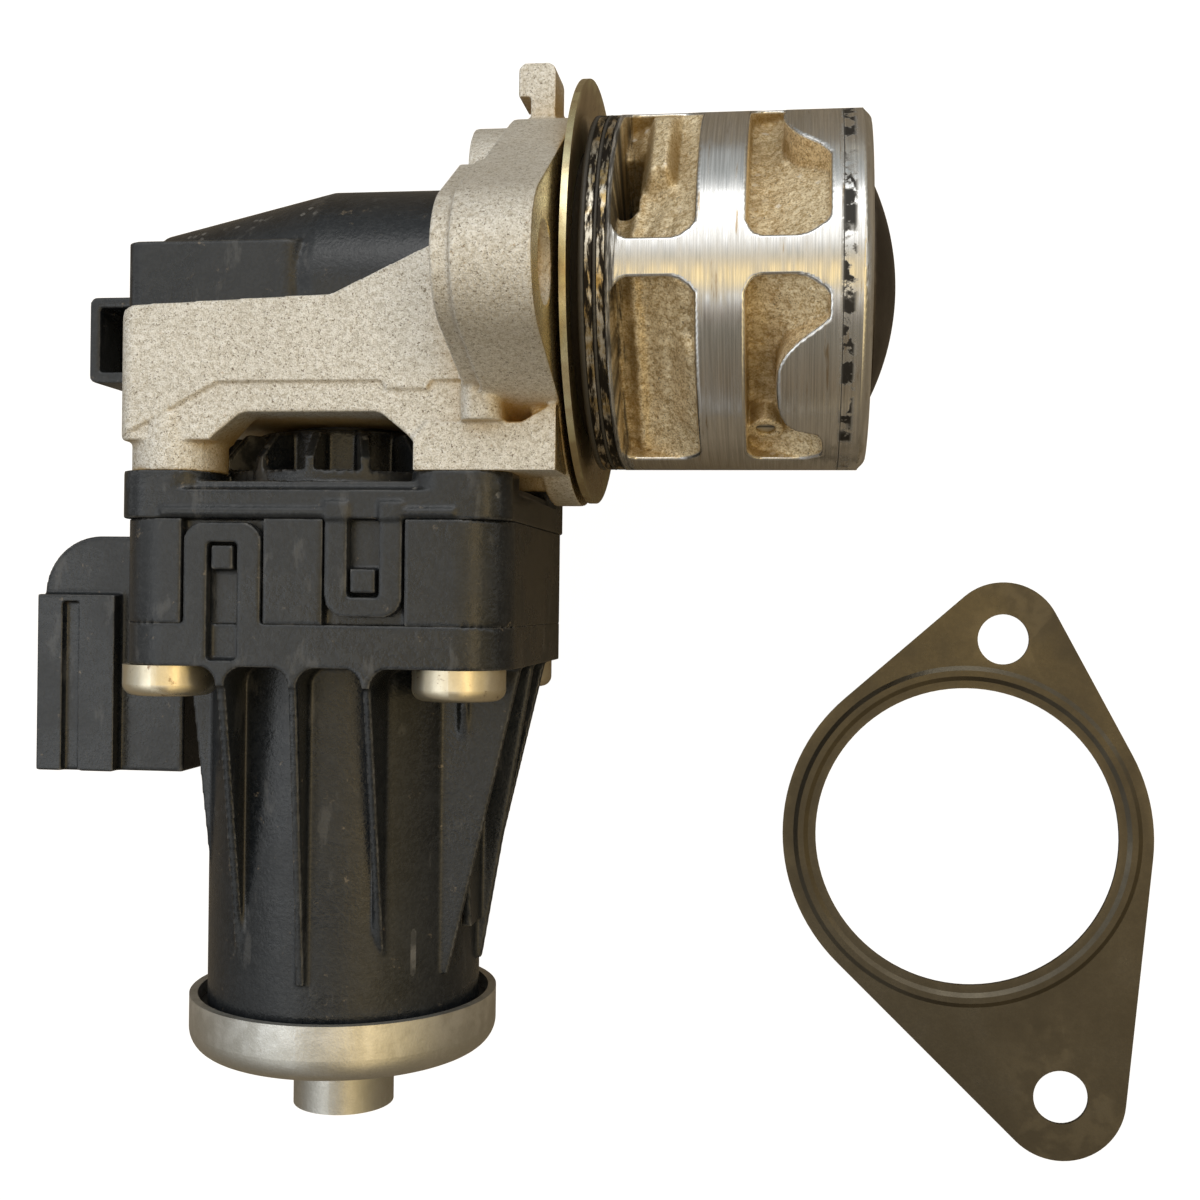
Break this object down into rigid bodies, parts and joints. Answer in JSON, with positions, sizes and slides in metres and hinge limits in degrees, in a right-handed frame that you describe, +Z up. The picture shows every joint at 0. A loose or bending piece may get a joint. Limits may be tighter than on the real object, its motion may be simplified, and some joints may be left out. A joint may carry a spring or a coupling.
{
  "type": "egr valve",
  "caption": "Electric exhaust gas recirculation valve: geared motor and crank drive a two-poppet stem through a windowed cage on a two-bolt flange, with its loose gasket.",
  "frame": {"origin": "where the spigot's axis crosses the flange's sealing face", "axes": "+X out along the spigot, +Y away from the motor, +Z up towards the front bolt ear, the valve lying on its back"},
  "size_m": [0.1759, 0.1761, 0.0935],
  "materials": {
    "cast_aluminium": "sandy cast",
    "machined_aluminium": "turned",
    "heat_tinted_steel": "heat tinted",
    "gasket_steel": "bronzed by heat",
    "bright_steel": "ground",
    "sooted_steel": "sooted",
    "zinc_steel": "satin zinc",
    "zinc_screws": "zinc with rust specks",
    "dark_iron": "matt",
    "black_plastic": "fine moulded grain",
    "natural_nylon": "moulded",
    "circuit_board": "solder mask",
    "seal_rubber": "matt",
    "sintered_bronze": "sintered",
    "brass_pinion": "hobbed",
    "copper_winding": "enamelled",
    "tin_terminals": "tinned",
    "carbon": "pressed carbon"
  },
  "bodies": {
    "housing": {"valve_body": "cast_aluminium", "valve_cage": "machined_aluminium", "heat_shield_disc": "heat_tinted_steel", "cage_seal_rings": "dark_iron", "cage_set_screw": "bright_steel", "mid_seat_ring": "bright_steel", "end_seat_ring": "bright_steel", "stem_guide_bush": "sintered_bronze", "stem_seal": "seal_rubber", "seal_retainer": "bright_steel", "arm_bush": "sintered_bronze", "tower_bush": "sintered_bronze", "shaft_seal": "seal_rubber", "intermediate_pin": "bright_steel", "gear_cover": "black_plastic", "gear_case": "black_plastic", "connector_terminals": "tin_terminals", "sensor_board": "circuit_board", "motor_housing": "black_plastic", "linkage_cover": "black_plastic", "linkage_cover_seal": "seal_rubber", "case_screws": "zinc_screws", "motor_can": "zinc_steel", "motor_magnets": "dark_iron", "brushes": "carbon", "brush_springs": "bright_steel", "brush_plate": "natural_nylon", "motor_bearing_top": "sintered_bronze", "motor_bearing_bottom": "sintered_bronze", "motor_end_cap": "zinc_steel", "end_cap_seal": "seal_rubber"},
    "rotor": {"armature_stack": "dark_iron", "rotor_shaft": "bright_steel", "armature_winding": "copper_winding", "commutator": "copper_winding", "motor_pinion": "brass_pinion"},
    "intermediate": {"intermediate_gear": "natural_nylon"},
    "output": {"output_shaft": "bright_steel", "output_gear": "natural_nylon", "crank_arm": "bright_steel", "crank_pin": "bright_steel", "crank_roller": "bright_steel", "sensor_magnet": "dark_iron", "return_spring": "bright_steel"},
    "stem": {"valve_stem": "bright_steel", "stem_yoke": "bright_steel", "yoke_pin": "bright_steel", "mid_poppet": "sooted_steel", "end_poppet": "sooted_steel"},
    "gasket": {"flange_gasket": "gasket_steel"}
  },
  "joints": [
    {"name": "rotor_spin", "type": "hinge", "parent": "housing", "child": "rotor", "pos_m": [-0.0358, -0.07, -0.004], "axis": [0, 1, 0], "range_deg": [0, 486]},
    {"name": "intermediate_spin", "type": "hinge", "parent": "housing", "child": "intermediate", "pos_m": [-0.02103, -0.041, -0.0014], "axis": [0, 1, 0], "range_deg": [-162, 0]},
    {"name": "output_turn", "type": "hinge", "parent": "housing", "child": "output", "pos_m": [-0.0358, -0.02, -0.004], "axis": [0, 1, 0], "range_deg": [0, 54]},
    {"name": "stem_slide", "type": "slide", "parent": "housing", "child": "stem", "axis": [1, 0, 0], "range_m": [0, 0.0059]},
    {"name": "gasket_lift", "type": "slide", "parent": "housing", "child": "gasket", "axis": [0, 0, 1], "range_m": [0, 0.03]}
  ],
  "couplings": [
    {"joint": "intermediate_spin", "follows": "rotor_spin", "ratio": -0.33333},
    {"joint": "output_turn", "follows": "rotor_spin", "ratio": 0.11111},
    {"joint": "stem_slide", "follows": "rotor_spin", "m_per_rad": 0.00069579}
  ]
}
